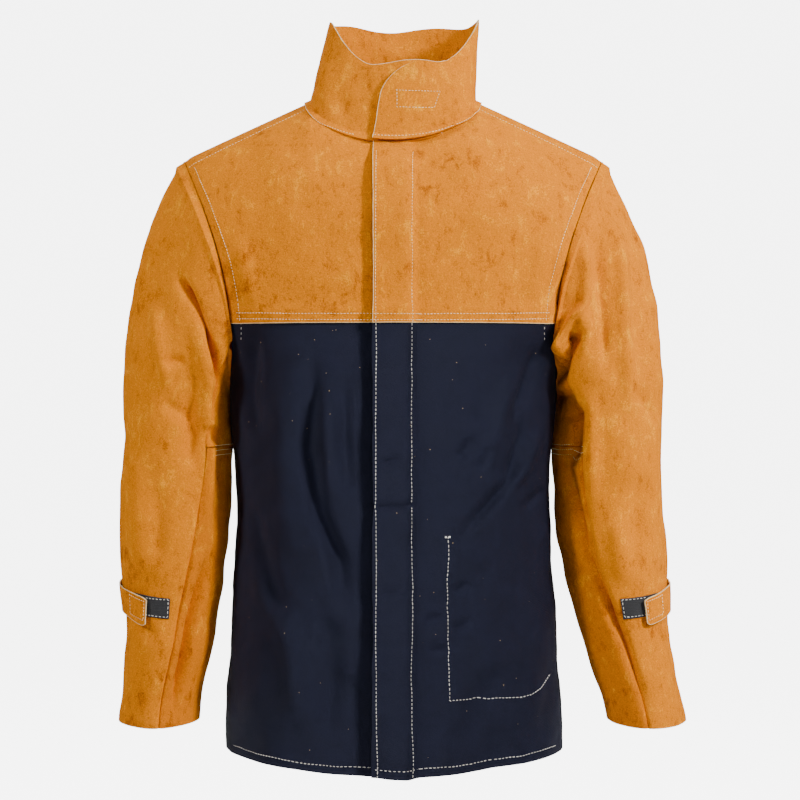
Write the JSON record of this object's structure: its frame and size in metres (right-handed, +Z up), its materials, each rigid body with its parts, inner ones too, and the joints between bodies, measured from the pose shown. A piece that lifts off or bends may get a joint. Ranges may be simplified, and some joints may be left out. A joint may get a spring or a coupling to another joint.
{
  "type": "leather welding jacket",
  "caption": "Welding jacket of split leather and flame-resistant cotton, with a stand collar, a storm flap over snaps, and cuff tabs.",
  "frame": {"origin": "midway between the two points where the shoulder seams meet the collar, on the wearer's shoulders", "axes": "+Z up, the front faces -Y, +X is the wearer's left"},
  "size_m": [0.6533, 0.2218, 0.8564],
  "materials": {
    "split_leather": "suede",
    "split_leather_under": "suede",
    "navy_cotton": "twill",
    "facing_cotton": "twill",
    "fastening_tape": "hook and loop pile",
    "snap_brass": "satin"
  },
  "bodies": {
    "torso": {"back_panel": "navy_cotton", "back_yoke": "split_leather", "collar": "split_leather", "collar_loop_patch": "fastening_tape", "fly_facing": "facing_cotton", "left_front_panel": "navy_cotton", "left_front_yoke": "split_leather", "pocket_bag": "facing_cotton", "right_front_panel": "navy_cotton", "right_front_yoke": "split_leather", "snap_cap_1": "snap_brass", "snap_cap_2": "snap_brass", "snap_cap_3": "snap_brass", "snap_cap_4": "snap_brass", "snap_cap_5": "snap_brass", "snap_socket_1": "snap_brass", "snap_socket_2": "snap_brass", "snap_socket_3": "snap_brass", "snap_socket_4": "snap_brass", "snap_socket_5": "snap_brass", "snap_stud_1": "snap_brass", "snap_stud_2": "snap_brass", "snap_stud_3": "snap_brass", "snap_stud_4": "snap_brass", "snap_stud_5": "snap_brass"},
    "storm_flap": {"storm_flap": "navy_cotton"},
    "collar_tab": {"collar_tab": "split_leather", "collar_hook_patch": "fastening_tape"},
    "right_sleeve": {"right_top_sleeve": "split_leather", "right_under_sleeve_upper": "split_leather_under", "right_under_sleeve_lower": "split_leather_under", "right_cuff_loop_patch": "fastening_tape"},
    "left_sleeve": {"left_top_sleeve": "split_leather", "left_under_sleeve_upper": "split_leather_under", "left_under_sleeve_lower": "split_leather_under", "left_cuff_loop_patch": "fastening_tape"},
    "right_cuff_tab": {"right_cuff_tab": "split_leather", "right_cuff_hook_patch": "fastening_tape"},
    "left_cuff_tab": {"left_cuff_tab": "split_leather", "left_cuff_hook_patch": "fastening_tape"}
  },
  "joints": [
    {"name": "storm_flap_lift", "type": "hinge", "parent": "torso", "child": "storm_flap", "pos_m": [0.0282, -0.11355, -0.51], "axis": [0, 0, 1], "range_deg": [0, 120]},
    {"name": "collar_tab_peel", "type": "hinge", "parent": "torso", "child": "collar_tab", "pos_m": [0.0681, -0.0723, 0.0042], "axis": [0.0886, 0.1745, 0.9807], "range_deg": [0, 60]},
    {"name": "right_sleeve_raise", "type": "hinge", "parent": "torso", "child": "right_sleeve", "pos_m": [-0.2436, 0, -0.0702], "axis": [0, 1, 0], "range_deg": [0, 30]},
    {"name": "left_sleeve_raise", "type": "hinge", "parent": "torso", "child": "left_sleeve", "pos_m": [0.2436, 0, -0.0702], "axis": [0, -1, 0], "range_deg": [0, 30]},
    {"name": "right_cuff_tab_peel", "type": "hinge", "parent": "right_sleeve", "child": "right_cuff_tab", "pos_m": [-0.3152, -0.0101, -0.571], "axis": [0, 0, -1], "range_deg": [0, 100]},
    {"name": "left_cuff_tab_peel", "type": "hinge", "parent": "left_sleeve", "child": "left_cuff_tab", "pos_m": [0.3196, -0.0101, -0.571], "axis": [0, 0, 1], "range_deg": [0, 100]}
  ]
}
